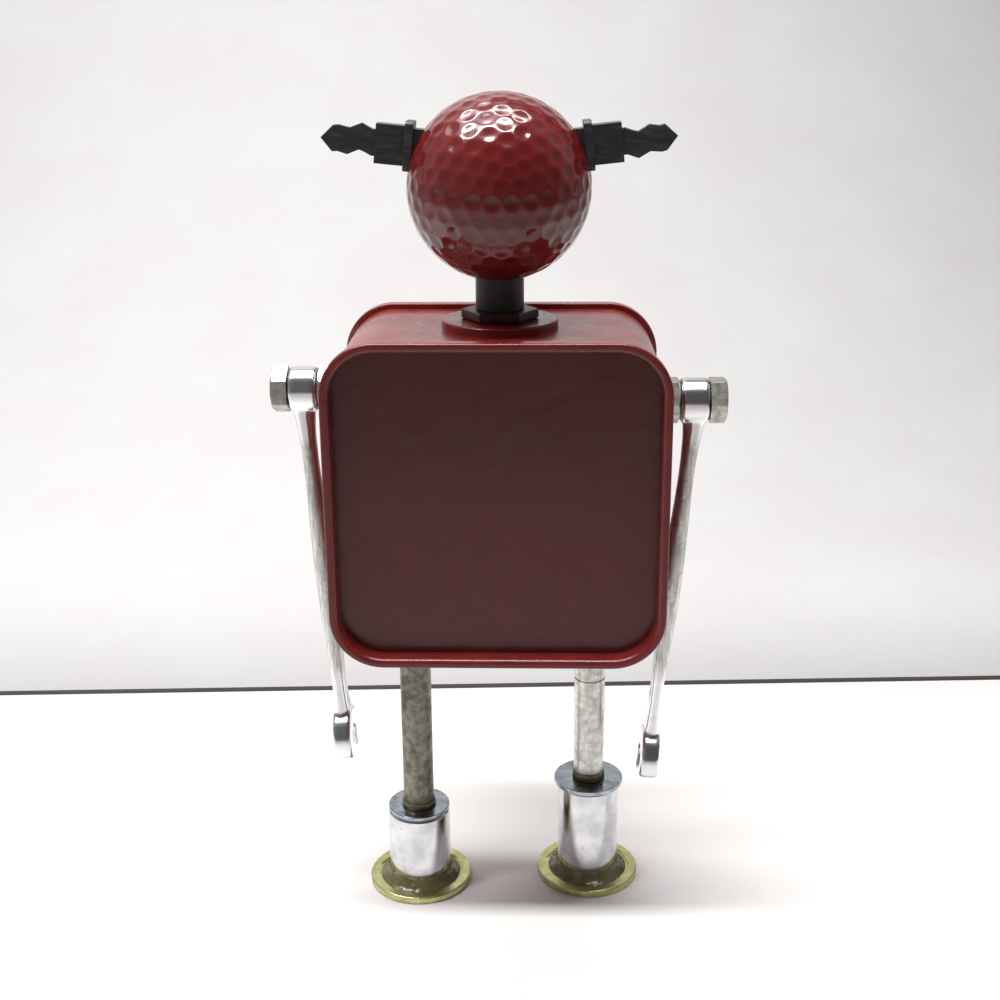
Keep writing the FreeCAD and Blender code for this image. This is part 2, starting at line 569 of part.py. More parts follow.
def all_pieces():
    """Every node's solid by its name."""
    pieces = {
        "tin_wall": tin_wall(),
        "rear_panel": rear_panel(),
        "front_ring": front_ring(),
        "front_lid": front_lid(),
        "head_ball": head_ball(),
    }
    pieces.update(neck_pieces())
    for side in SIDES:
        pieces[side + "_ear_key"] = ear_key(side)
        pieces[side + "_arm_wrench"] = arm_wrench(side)
        pieces.update(shoulder_pieces(side))
        pieces.update(leg_pieces(side))
    return pieces


os.makedirs("parts", exist_ok=True)
for name, shape in all_pieces().items():
    if not shape.isValid() or len(shape.Solids) != 1:
        raise ValueError(name + " is not one valid solid")
    shape.Solids[0].exportStep("parts/" + name + ".step")
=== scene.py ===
import json
import math

import bmesh
import bpy
from bpy.props import FloatProperty, FloatVectorProperty, IntProperty, PointerProperty
from mathutils import Matrix, Vector, kdtree, noise


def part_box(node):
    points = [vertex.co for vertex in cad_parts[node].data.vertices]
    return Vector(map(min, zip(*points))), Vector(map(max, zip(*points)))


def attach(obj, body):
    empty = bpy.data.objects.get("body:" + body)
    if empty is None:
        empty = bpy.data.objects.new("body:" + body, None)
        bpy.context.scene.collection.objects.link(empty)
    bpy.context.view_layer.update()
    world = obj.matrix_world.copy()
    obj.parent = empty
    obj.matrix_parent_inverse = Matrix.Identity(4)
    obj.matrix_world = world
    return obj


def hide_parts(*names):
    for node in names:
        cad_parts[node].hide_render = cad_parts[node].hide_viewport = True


bl_info = {
    "name": "Tin robot figure",
    "version": (1, 0, 0),
    "blender": (4, 5, 0),
    "location": "View3D > Sidebar > Tin robot",
    "description": "Finishes a robot figure made of a painted tin, a dimpled ball, keys, wrenches and rods",
    "category": "Add Mesh",
}

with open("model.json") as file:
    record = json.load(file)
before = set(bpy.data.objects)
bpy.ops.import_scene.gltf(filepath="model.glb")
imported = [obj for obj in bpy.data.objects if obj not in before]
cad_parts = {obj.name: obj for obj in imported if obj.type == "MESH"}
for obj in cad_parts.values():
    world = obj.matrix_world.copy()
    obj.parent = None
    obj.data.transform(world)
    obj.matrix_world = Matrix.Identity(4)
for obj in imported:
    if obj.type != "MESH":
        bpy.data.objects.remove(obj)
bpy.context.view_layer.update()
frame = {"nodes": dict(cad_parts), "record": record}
MM = 0.001
SIDES = ("left", "right")
BODIES = frame["record"]["behaviour"]["bodies"]
WELD = 2e-6                         # joins a CAD mesh's loose triangles
FLAT = math.radians(0.3)            # CAD triangles closer than this to one plane are one face
HARD_EDGE = math.radians(28)        # edges sharper than this are rounded
RECESS_SHADE_FROM = 3.2 * MM                # from the rear rim's face to where the painted shade of the recess sets in
DIMPLE_STEPS = 15                   # mesh steps from one dimple to the next
POLISH_PASSES = 26                  # smoothing passes over a forged wrench
CARD_THICK = 1.6 * MM
CARD_TURN = math.radians(2.8)       # the cards lie a little askew of the tin
# front and back edges of the dark strip that is painted as the shadow in the seam between floor card and
# sweep
SEAM_SHADOW_FRONT, SEAM_SHADOW_BACK = 0.1128, 0.1162


# ------------------------------------------------------------------ small tools
def linear(code):
    """The linear colour of an sRGB hex code."""
    values = [int(code[i:i + 2], 16) / 255 for i in (1, 3, 5)]
    return tuple([v / 12.92 if v <= 0.04045 else ((v + 0.055) / 1.055) ** 2.4 for v in values] + [1.0])


def per_mm(size):
    """The texture scale whose features are this many millimetres across."""
    return 1 / (size * MM)


def stretched(x, y, z):
    """Mapping scale for a pattern whose features are x, y and z millimetres long."""
    return (per_mm(x), per_mm(y), per_mm(z))


def add(tree, kind, settings=None, inputs=None):
    """Adds a node. An input is given a value, a node (its first output) or one output socket."""
    made = tree.nodes.new(kind)
    for name, value in (settings or {}).items():
        setattr(made, name, value)
    for name, value in (inputs or {}).items():
        if isinstance(value, bpy.types.Node):
            value = value.outputs[0]
        if isinstance(value, bpy.types.NodeSocket):
            tree.links.new(value, made.inputs[name])
        else:
            made.inputs[name].default_value = value
    return made


def new_material(name):
    """An empty node material, and its Object coordinates."""
    material = bpy.data.materials.new(name)
    material.use_nodes = True
    material.node_tree.nodes.clear()
    where = add(material.node_tree, "ShaderNodeTexCoord").outputs["Object"]
    return material, material.node_tree, where


def body_of(node):
    """The body that a CAD node rides on."""
    return next(body for body, members in BODIES.items() if node in members)


def merged_copy(node):
    """A CAD node's mesh with its loose triangles joined and its flat faces whole."""
    bm = bmesh.new()
    bm.from_mesh(frame["nodes"][node].data)
    bmesh.ops.remove_doubles(bm, verts=bm.verts, dist=WELD)
    bmesh.ops.dissolve_limit(bm, angle_limit=FLAT, verts=bm.verts, edges=bm.edges)
    return bm


def soften_edges(bm, width):
    """Rounds every hard edge, width in millimetres."""
    hard = [e for e in bm.edges if len(e.link_faces) == 2 and e.calc_face_angle() > HARD_EDGE]
    bmesh.ops.bevel(bm, geom=hard, offset=width * MM, offset_type="OFFSET", segments=2, profile=0.5,
                    affect="EDGES", material=-1, clamp_overlap=True)


def piece_from(bm, name, nodes, material, smooth):
    """Makes a bmesh a piece that stands for CAD nodes and rides on their body.
    Edges of more than smooth degrees stay sharp."""
    mesh = bpy.data.meshes.new(name)
    bm.to_mesh(mesh)
    bm.free()
    mesh.materials.append(material)
    mesh.polygons.foreach_set("use_smooth", [True] * len(mesh.polygons))
    mesh.set_sharp_from_angle(angle=math.radians(smooth))
    piece = bpy.data.objects.new(name, mesh)
    bpy.context.scene.collection.objects.link(piece)
    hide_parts(*nodes)
    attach(piece, body_of(nodes[0]))
    return piece


def even_shading(piece):
    """Keeps flat faces flat beside their rounded edges."""
    modifier = piece.modifiers.new("Flat faces", "WEIGHTED_NORMAL")
    modifier.keep_sharp = True
    modifier.weight = 80


def worked_piece(node, name, material, width):
    """A CAD node's shape with its edges rounded as the maker left them, width in millimetres."""
    bm = merged_copy(node)
    soften_edges(bm, width)
    piece = piece_from(bm, name, [node], material, 40.0)
    even_shading(piece)


def finish_node(node, material):
    """Gives a CAD node that keeps its shape a finish."""
    mesh = frame["nodes"][node].data
    mesh.materials.clear()
    mesh.materials.append(material)


# ------------------------------------------------------------------ sizes and colours a user may change
class RobotBodySettings(bpy.types.PropertyGroup):
    enamel: FloatVectorProperty(
        name="Enamel", description="Brushed enamel on the tin", subtype="COLOR", size=4, min=0, max=1,
        default=linear("#721d1c"))
    thin_enamel: FloatVectorProperty(
        name="Thin enamel", description="Enamel where the brush left it thin", subtype="COLOR", size=4, min=0,
        max=1, default=linear("#822321"))
    stroke_length: FloatProperty(
        name="Stroke length", description="Length of a brush stroke in millimetres", default=26.0, min=5.0)
    stroke_width: FloatProperty(
        name="Bristle line", description="Spacing of the bristle lines in millimetres", default=2.6, min=0.3)


class RobotHeadSettings(bpy.types.PropertyGroup):
    ball_paint: FloatVectorProperty(
        name="Ball paint", description="Gloss paint on the ball", subtype="COLOR", size=4, min=0, max=1,
        default=linear("#6b1b1c"))
    dimple_rows: IntProperty(
        name="Dimple rows", description="Dimples along an edge of the ball's icosahedral layout", default=6,
        min=3, max=8)
    dimple_width: FloatProperty(
        name="Dimple width", description="Across a dimple", subtype="DISTANCE", unit="LENGTH",
        default=4.15 * MM)
    dimple_depth: FloatProperty(
        name="Dimple depth", description="Depth of a painted dimple", subtype="DISTANCE", unit="LENGTH",
        default=0.22 * MM)
    plastic: FloatVectorProperty(
        name="Moulded plastic", description="Keys and neck post", subtype="COLOR", size=4, min=0, max=1,
        default=linear("#2b2b2d"))


class RobotHardwareSettings(bpy.types.PropertyGroup):
    chrome: FloatVectorProperty(
        name="Chrome", description="Plated wrenches and sleeves", subtype="COLOR", size=4, min=0, max=1,
        default=linear("#e8e9eb"))
    zinc: FloatVectorProperty(
        name="Zinc", description="Aged zinc plating of bolts and nuts", subtype="COLOR", size=4, min=0, max=1,
        default=linear("#c2c0b9"))
    forging_grain: FloatProperty(
        name="Forging cell", description="Cell of the mesh that blends the forged wrench", subtype="DISTANCE",
        unit="LENGTH", default=0.3 * MM, min=0.2 * MM)


class RobotFeetSettings(bpy.types.PropertyGroup):
    brass: FloatVectorProperty(
        name="Brass", description="Pale brass discs", subtype="COLOR", size=4, min=0, max=1,
        default=linear("#d3d19a"))
    resin: FloatVectorProperty(
        name="Resin", description="Glue round the sleeves and rods", subtype="COLOR", size=4, min=0, max=1,
        default=linear("#8b8358"))


class RobotStageSettings(bpy.types.PropertyGroup):
    paper: FloatVectorProperty(
        name="Floor card", description="Pale floor", subtype="COLOR", size=4, min=0, max=1,
        default=linear("#f1eeec"))
    # The backdrop is greyer than the floor card as painted shade: an upright wall takes less light.
    backdrop: FloatVectorProperty(
        name="Backdrop", description="Sweep behind the figure", subtype="COLOR", size=4, min=0, max=1,
        default=linear("#cbc9c9"))
    lens: FloatProperty(name="Lens", description="Focal length in millimetres", default=49.96, min=10.0)
    front_power: FloatProperty(name="Front strip", description="Power in watts", default=14.5, min=0.0)
    back_power: FloatProperty(name="Back strip", description="Power in watts", default=4.0, min=0.0)
    wash_power: FloatProperty(name="Backdrop wash", description="Power in watts", default=3.5, min=0.0)


# ------------------------------------------------------------------ finishes
def brushed_enamel(name, settings, recess=0.0, recess_shade=0.0):
    """Oil enamel brushed on tinplate: a thick gloss film with slanting bristle lines, slow sags
    and dust pits. Behind the recess plane the film is darkened toward brown-red as painted
    shade, and in front of it by three tenths as much."""
    # Bristle lines are really under 1 mm apart; the user's setting draws them coarser so that they show.
    material, tree, where = new_material(name)
    slant = add(tree, "ShaderNodeMapping", None, {
        "Vector": where, "Rotation": (0.0, math.radians(27.0), 0.0)})
    lay = add(tree, "ShaderNodeMapping", None, {
        "Vector": slant, "Scale": stretched(settings.stroke_length, 9.0, settings.stroke_width)})
    strokes = add(tree, "ShaderNodeTexNoise", None, {
        "Vector": lay, "Scale": 1.0, "Detail": 0.0, "Roughness": 0.5})
    sags = add(tree, "ShaderNodeTexNoise", None, {
        "Vector": where, "Scale": per_mm(17.0), "Detail": 2.0, "Roughness": 0.5})
    clouds = add(tree, "ShaderNodeTexNoise", None, {
        "Vector": where, "Scale": per_mm(6.0), "Detail": 2.0, "Roughness": 0.5})
    peel = add(tree, "ShaderNodeTexNoise", None, {
        "Vector": where, "Scale": per_mm(5.0), "Detail": 0.0, "Roughness": 0.5})
    cells = add(tree, "ShaderNodeTexVoronoi", None, {
        "Vector": where, "Scale": per_mm(7.0), "Randomness": 1.0})
    near = add(tree, "ShaderNodeMapRange", {"interpolation_type": "SMOOTHSTEP"}, {
        "Value": cells.outputs["Distance"], "From Min": 0.02, "From Max": 0.055,
        "To Min": 1.0, "To Max": 0.0})
    pick = add(tree, "ShaderNodeSeparateColor", None, {"Color": cells.outputs["Color"]})
    few = add(tree, "ShaderNodeMath", {"operation": "GREATER_THAN"}, {0: pick, 1: 0.93})
    pits = add(tree, "ShaderNodeMath", {"operation": "MULTIPLY"}, {0: near, 1: few})
    thin = add(tree, "ShaderNodeMapRange", None, {
        "Value": clouds, "From Min": 0.32, "From Max": 0.72, "To Min": 0.0, "To Max": 0.8})
    film = add(tree, "ShaderNodeMix", {"data_type": "RGBA"}, {
        0: thin, 6: settings.enamel, 7: settings.thin_enamel}).outputs[2]
    film = add(tree, "ShaderNodeMix", {"data_type": "RGBA"}, {
        0: pits, 6: film, 7: linear("#561514")}).outputs[2]
    # Painted shade: behind the recess plane the film darkens toward brown-red, and in front of it by three
    # tenths as much.
    depth = add(tree, "ShaderNodeSeparateXYZ", None, {"Vector": where}).outputs["Y"]
    behind = add(tree, "ShaderNodeMapRange", {"interpolation_type": "SMOOTHSTEP"}, {
        "Value": depth, "From Min": recess - 0.6 * MM, "From Max": recess + 0.6 * MM,
        "To Min": 0.3 * recess_shade, "To Max": recess_shade})
    film = add(tree, "ShaderNodeMix", {"data_type": "RGBA"}, {
        0: behind, 6: film, 7: linear("#481718")}).outputs[2]
    rough = add(tree, "ShaderNodeMapRange", None, {
        "Value": clouds, "From Min": 0.3, "From Max": 0.7, "To Min": 0.24, "To Max": 0.34})
    surface = add(tree, "ShaderNodeBump", None, {"Height": sags, "Distance": 0.5 * MM, "Strength": 0.5})
    surface = add(tree, "ShaderNodeBump", None, {
        "Height": strokes, "Distance": 0.1 * MM, "Strength": 0.5, "Normal": surface})
    surface = add(tree, "ShaderNodeBump", None, {
        "Height": peel, "Distance": 0.06 * MM, "Strength": 0.5, "Normal": surface})
    surface = add(tree, "ShaderNodeBump", {"invert": True}, {
        "Height": pits, "Distance": 0.08 * MM, "Strength": 0.7, "Normal": surface})
    gloss = add(tree, "ShaderNodeBsdfPrincipled", None, {
        "Base Color": film, "Roughness": rough, "IOR": 1.5, "Normal": surface,
        "Coat Weight": 0.15, "Coat Roughness": 0.12, "Coat IOR": 1.5})
    add(tree, "ShaderNodeOutputMaterial", None, {"Surface": gloss})
    return material


def flooded_gloss(settings):
    """Gloss paint flooded over a moulded ball: it pools in the dimples and thins over their rims."""
    material, tree, where = new_material("flooded_gloss_paint")
    pooled = add(tree, "ShaderNodeAttribute", {"attribute_name": "dimple"}).outputs["Fac"]
    peel = add(tree, "ShaderNodeTexNoise", None, {
        "Vector": where, "Scale": per_mm(1.1), "Detail": 1.0, "Roughness": 0.5})
    cloud = add(tree, "ShaderNodeTexNoise", None, {
        "Vector": where, "Scale": per_mm(11.0), "Detail": 3.0, "Roughness": 0.6})
    thin = add(tree, "ShaderNodeMapRange", None, {
        "Value": cloud, "From Min": 0.35, "From Max": 0.65, "To Min": 0.0, "To Max": 0.6})
    deep = add(tree, "ShaderNodeMath", {"operation": "MULTIPLY"}, {0: pooled, 1: 0.45})
    rough = add(tree, "ShaderNodeMapRange", None, {
        "Value": cloud, "From Min": 0.3, "From Max": 0.7, "To Min": 0.12, "To Max": 0.19})
    coat = add(tree, "ShaderNodeMix", {"data_type": "RGBA"}, {
        0: thin, 6: settings.ball_paint, 7: linear("#741b1a")}).outputs[2]
    coat = add(tree, "ShaderNodeMix", {"data_type": "RGBA"}, {
        0: deep, 6: coat, 7: linear("#501112")}).outputs[2]
    surface = add(tree, "ShaderNodeBump", None, {"Height": peel, "Distance": 0.03 * MM, "Strength": 0.5})
    gloss = add(tree, "ShaderNodeBsdfPrincipled", None, {
        "Base Color": coat, "Roughness": rough, "IOR": 1.52, "Normal": surface,
        "Coat Weight": 0.3, "Coat Roughness": 0.05, "Coat IOR": 1.5})
    add(tree, "ShaderNodeOutputMaterial", None, {"Surface": gloss})
    return material


def moulded_abs(name, dark, rubbed_tone):
    """Injection-moulded ABS: near-black, with a spark-eroded grain that dulls its shine
    and paler handling scuffs."""
    material, tree, where = new_material(name)
    # The real grain is about 0.05 mm; it is drawn at 0.3 mm so that it shows.
    grain = add(tree, "ShaderNodeTexNoise", None, {
        "Vector": where, "Scale": per_mm(0.3), "Detail": 2.0, "Roughness": 0.6})
    along = add(tree, "ShaderNodeMapping", None, {"Vector": where, "Scale": stretched(5.0, 1.2, 1.2)})
    rubbed = add(tree, "ShaderNodeTexNoise", None, {
        "Vector": along, "Scale": 1.0, "Detail": 4.0, "Roughness": 0.6})
    scuff = add(tree, "ShaderNodeMapRange", {"interpolation_type": "SMOOTHSTEP"}, {
        "Value": rubbed, "From Min": 0.45, "From Max": 0.75, "To Min": 0.0, "To Max": 0.7})
    colour = add(tree, "ShaderNodeMix", {"data_type": "RGBA"}, {
        0: scuff, 6: dark, 7: rubbed_tone}).outputs[2]
    rough = add(tree, "ShaderNodeMapRange", None, {"Value": scuff, "To Min": 0.38, "To Max": 0.56})
    surface = add(tree, "ShaderNodeBump", None, {"Height": grain, "Distance": 0.03 * MM, "Strength": 0.5})
    plastic = add(tree, "ShaderNodeBsdfPrincipled", None, {
        "Base Color": colour, "Roughness": rough, "IOR": 1.54, "Normal": surface})
    add(tree, "ShaderNodeOutputMaterial", None, {"Surface": plastic})
    return material


def plated_metal(name, bright, dull, grain, smooth, rough, depth, patch):
    """A plated or bare metal: two tones in soft patches, tooling grain, and pits where the plate has failed.
    Grain, depth and patch are in millimetres; smooth and rough are the roughness of the two tones."""
    # Tooling marks are really 0.05 to 0.2 mm apart; they are drawn coarser so that they show.
    material, tree, where = new_material(name)
    tone = add(tree, "ShaderNodeTexNoise", None, {
        "Vector": where, "Scale": per_mm(patch), "Detail": 4.0, "Roughness": 0.55})
    patches = add(tree, "ShaderNodeMapRange", {"interpolation_type": "SMOOTHSTEP"}, {
        "Value": tone, "From Min": 0.3, "From Max": 0.7})
    along = add(tree, "ShaderNodeMapping", None, {"Vector": where, "Scale": stretched(*grain)})
    tooling = add(tree, "ShaderNodeTexNoise", None, {
        "Vector": along, "Scale": 1.0, "Detail": 3.0, "Roughness": 0.6})
    cells = add(tree, "ShaderNodeTexVoronoi", None, {
        "Vector": where, "Scale": per_mm(3.2), "Randomness": 1.0})
    spot = add(tree, "ShaderNodeMapRange", {"interpolation_type": "SMOOTHSTEP"}, {
        "Value": cells.outputs["Distance"], "From Min": 0.03, "From Max": 0.11, "To Min": 1.0, "To Max": 0.0})
    pick = add(tree, "ShaderNodeSeparateColor", None, {"Color": cells.outputs["Color"]})
    few = add(tree, "ShaderNodeMath", {"operation": "GREATER_THAN"}, {0: pick, 1: 0.75})
    pits = add(tree, "ShaderNodeMath", {"operation": "MULTIPLY"}, {0: spot, 1: few})
    shown = add(tree, "ShaderNodeMath", {"operation": "MULTIPLY"}, {0: pits, 1: 0.7})
    colour = add(tree, "ShaderNodeMix", {"data_type": "RGBA"}, {0: patches, 6: bright, 7: dull}).outputs[2]
    colour = add(tree, "ShaderNodeMix", {"data_type": "RGBA"}, {
        0: shown, 6: colour, 7: linear("#3f3c35")}).outputs[2]
    finish = add(tree, "ShaderNodeMapRange", None, {"Value": patches, "To Min": smooth, "To Max": rough})
    surface = add(tree, "ShaderNodeBump", None, {"Height": tone, "Distance": 3 * depth * MM, "Strength": 0.5})
    surface = add(tree, "ShaderNodeBump", None, {
        "Height": tooling, "Distance": depth * MM, "Strength": 0.5, "Normal": surface})
    surface = add(tree, "ShaderNodeBump", {"invert": True}, {
        "Height": pits, "Distance": 0.08 * MM, "Strength": 0.5, "Normal": surface})
    metal = add(tree, "ShaderNodeBsdfPrincipled", None, {
        "Base Color": colour, "Metallic": 1.0, "Roughness": finish, "Normal": surface})
    add(tree, "ShaderNodeOutputMaterial", None, {"Surface": metal})
    return material


def forged_chrome(settings, jaw_top, ring_foot):
    """Chromed forging: the jaw and the ring are polished bright,
    and the shank between them keeps a satin forged skin."""
    material, tree, where = new_material("forged_chrome_plate")
    height = add(tree, "ShaderNodeSeparateXYZ", None, {"Vector": where}).outputs["Z"]
    above_jaw = add(tree, "ShaderNodeMapRange", {"interpolation_type": "SMOOTHSTEP"}, {
        "Value": height, "From Min": jaw_top, "From Max": jaw_top + 6 * MM})
    below_ring = add(tree, "ShaderNodeMapRange", {"interpolation_type": "SMOOTHSTEP"}, {
        "Value": height, "From Min": ring_foot - 5 * MM, "From Max": ring_foot, "To Min": 1.0, "To Max": 0.0})
    shank = add(tree, "ShaderNodeMath", {"operation": "MULTIPLY"}, {0: above_jaw, 1: below_ring})
    hammered = add(tree, "ShaderNodeTexNoise", None, {
        "Vector": where, "Scale": per_mm(1.4), "Detail": 4.0, "Roughness": 0.6})
    # Grinding lines are really about 0.1 mm apart; they are drawn at 0.6 mm so that they show.
    along = add(tree, "ShaderNodeMapping", None, {"Vector": where, "Scale": stretched(0.6, 0.6, 7.0)})
    ground = add(tree, "ShaderNodeTexNoise", None, {
        "Vector": along, "Scale": 1.0, "Detail": 3.0, "Roughness": 0.6})
    wear = add(tree, "ShaderNodeMapRange", {"interpolation_type": "SMOOTHSTEP"}, {
        "Value": ground, "From Min": 0.35, "From Max": 0.7})
    satin = add(tree, "ShaderNodeMath", {"operation": "MULTIPLY"}, {0: shank, 1: wear})
    colour = add(tree, "ShaderNodeMix", {"data_type": "RGBA"}, {
        0: shank, 6: settings.chrome, 7: linear("#e2e2df")}).outputs[2]
    colour = add(tree, "ShaderNodeMix", {"data_type": "RGBA"}, {
        0: satin, 6: colour, 7: linear("#b0afab")}).outputs[2]
    cells = add(tree, "ShaderNodeTexVoronoi", None, {
        "Vector": where, "Scale": per_mm(1.7), "Randomness": 1.0})
    flaw = add(tree, "ShaderNodeMapRange", {"interpolation_type": "SMOOTHSTEP"}, {
        "Value": cells.outputs["Distance"], "From Min": 0.05, "From Max": 0.16, "To Min": 0.6, "To Max": 0.0})
    flaws = add(tree, "ShaderNodeMath", {"operation": "MULTIPLY"}, {0: flaw, 1: shank})
    colour = add(tree, "ShaderNodeMix", {"data_type": "RGBA"}, {
        0: flaws, 6: colour, 7: linear("#55534f")}).outputs[2]
    rough = add(tree, "ShaderNodeMapRange", None, {"Value": shank, "To Min": 0.17, "To Max": 0.38})
    skin = add(tree, "ShaderNodeMath", {"operation": "MULTIPLY"}, {0: hammered, 1: shank})
    surface = add(tree, "ShaderNodeBump", None, {"Height": skin, "Distance": 0.3 * MM, "Strength": 0.6})
    surface = add(tree, "ShaderNodeBump", None, {
        "Height": ground, "Distance": 0.03 * MM, "Strength": 0.5, "Normal": surface})
    metal = add(tree, "ShaderNodeBsdfPrincipled", None, {
        "Base Color": colour, "Metallic": 1.0, "Roughness": rough, "Normal": surface})
    add(tree, "ShaderNodeOutputMaterial", None, {"Surface": metal})
    return material


def squeezed_epoxy(settings):
    """Epoxy squeezed out by hand: olive brown and glassy, a little clear, with a few trapped bubbles."""
    material, tree, where = new_material("squeezed_epoxy")
    bubbles = add(tree, "ShaderNodeTexVoronoi", None, {
        "Vector": where, "Scale": per_mm(1.3), "Randomness": 1.0})
    skin = add(tree, "ShaderNodeMapRange", {"interpolation_type": "SMOOTHSTEP"}, {
        "Value": bubbles.outputs["Distance"], "From Min": 0.06, "From Max": 0.22,
        "To Min": 0.3, "To Max": 0.0})
    cloud = add(tree, "ShaderNodeTexNoise", None, {
        "Vector": where, "Scale": per_mm(3.0), "Detail": 4.0, "Roughness": 0.6})
    mixed = add(tree, "ShaderNodeMapRange", {"interpolation_type": "SMOOTHSTEP"}, {
        "Value": cloud, "From Min": 0.3, "From Max": 0.7})
    colour = add(tree, "ShaderNodeMix", {"data_type": "RGBA"}, {
        0: mixed, 6: settings.resin, 7: linear("#a59c6d")}).outputs[2]
    colour = add(tree, "ShaderNodeMix", {"data_type": "RGBA"}, {
        0: skin, 6: colour, 7: linear("#918b66")}).outputs[2]
    rough = add(tree, "ShaderNodeMapRange", None, {"Value": mixed, "To Min": 0.14, "To Max": 0.28})
    surface = add(tree, "ShaderNodeBump", {"invert": True}, {
        "Height": skin, "Distance": 0.1 * MM, "Strength": 0.5})
    resin = add(tree, "ShaderNodeBsdfPrincipled", None, {
        "Base Color": colour, "Roughness": rough, "IOR": 1.56, "Transmission Weight": 0.5, "Normal": surface})
    add(tree, "ShaderNodeOutputMaterial", None, {"Surface": resin})
    return material


def uncoated_card(name, pale, mottled):
    """Uncoated card: flat, with a faint fibre mottle."""
    material, tree, where = new_material(name)
    mottle = add(tree, "ShaderNodeTexNoise", None, {
        "Vector": where, "Scale": per_mm(60.0), "Detail": 5.0, "Roughness": 0.6})
    fibre = add(tree, "ShaderNodeTexNoise", None, {
        "Vector": where, "Scale": per_mm(1.1), "Detail": 3.0, "Roughness": 0.6})
    share = add(tree, "ShaderNodeMapRange", None, {
        "Value": mottle, "From Min": 0.35, "From Max": 0.65, "To Min": 0.0, "To Max": 0.5})
    colour = add(tree, "ShaderNodeMix", {"data_type": "RGBA"}, {0: share, 6: pale, 7: mottled}).outputs[2]
    surface = add(tree, "ShaderNodeBump", None, {"Height": fibre, "Distance": 0.04 * MM, "Strength": 0.3})
    card = add(tree, "ShaderNodeBsdfPrincipled", None, {
        "Base Color": colour, "Roughness": 0.75, "IOR": 1.45, "Normal": surface})
    add(tree, "ShaderNodeOutputMaterial", None, {"Surface": card})
    return material


# ------------------------------------------------------------------ pieces
class ROBOT_OT_tin_body(bpy.types.Operator):
    """Brush the tin's wall, seamed ends and lid with enamel"""
    bl_idname = "robot.tin_body"
    bl_label = "Tin body"

    def execute(self, context):
        settings = context.scene.robot_body
        enamel = brushed_enamel("brushed_enamel", settings)
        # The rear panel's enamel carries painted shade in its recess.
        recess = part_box("rear_panel")[0].y + RECESS_SHADE_FROM
        finish_node("rear_panel", brushed_enamel("enamel_with_recess_shade", settings, recess, recess_shade=0.75))
        for node in ("tin_wall", "front_ring", "front_lid"):
            finish_node(node, enamel)
        worked_piece("neck_plate_washer", "painted_plate_washer", enamel, 0.2)
        return {"FINISHED"}


class ROBOT_OT_head_ball(bpy.types.Operator):
    """Make the dimpled ball and flood it with paint"""
    bl_idname = "robot.head_ball"
    bl_label = "Dimpled ball"

    def execute(self, context):
        settings = context.scene.robot_head
        low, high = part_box("head_ball")
        radius = (high.x - low.x) / 2
        centre = Vector(((low.x + high.x) / 2, (low.y + high.y) / 2, high.z - radius))
        # The dimple layout sits a little askew on the neck.
        turn = Matrix.Rotation(math.radians(14), 3, "X") @ Matrix.Rotation(math.radians(-9), 3, "Z")
        dimples = self.lattice(settings.dimple_rows, turn)
        tree = kdtree.KDTree(len(dimples))
        for i, point in enumerate(dimples):
            tree.insert(point, i)
        tree.balance()
        bm = self.divided(settings.dimple_rows * DIMPLE_STEPS)
        layer = bm.verts.layers.float.new("dimple")
        half_width = settings.dimple_width / 2 / radius
        for vert in bm.verts:
            outward = turn @ vert.co.normalized()
            spread = tree.find(outward)[2] / half_width
            sunk = (1 - spread * spread) ** 1.5 if spread < 1 else 0.0
            vert[layer] = sunk
            vert.co = centre + outward * (radius - settings.dimple_depth * sunk)
        bmesh.ops.recalc_face_normals(bm, faces=bm.faces)
        piece_from(bm, "painted_dimpled_ball", ["head_ball"], flooded_gloss(settings), 60.0)
        return {"FINISHED"}

    def divided(self, cuts):
        """An icosahedron with each edge in equal steps."""
        bm = bmesh.new()
        bmesh.ops.create_icosphere(bm, subdivisions=1, radius=1.0)
        bmesh.ops.subdivide_edges(bm, edges=bm.edges, cuts=cuts - 1, use_grid_fill=True)
        return bm

    def lattice(self, rows, turn):
        """Directions of the dimples."""
        bm = self.divided(rows)
        points = [turn @ vert.co.normalized() for vert in bm.verts]
        bm.free()
        return points


class ROBOT_OT_ear_keys(bpy.types.Operator):
    """Round the keys, neck post and collar and mould them in black"""
    bl_idname = "robot.ear_keys"
    bl_label = "Ear keys"

    def execute(self, context):
        plastic = moulded_abs("moulded_abs_black", context.scene.robot_head.plastic, linear("#4b4b4e"))
        # The tin's brush has caught the collar, so it is brown-red over black.
        smeared = moulded_abs("enamel_smeared_abs", linear("#3b1b19"), linear("#6a2623"))
        for side in SIDES:
            worked_piece(side + "_ear_key", side + "_moulded_key", plastic, 0.16)
        worked_piece("neck_post", "neck_sleeve", plastic, 0.15)
        worked_piece("neck_collar", "neck_hex_collar", smeared, 0.4)
        return {"FINISHED"}


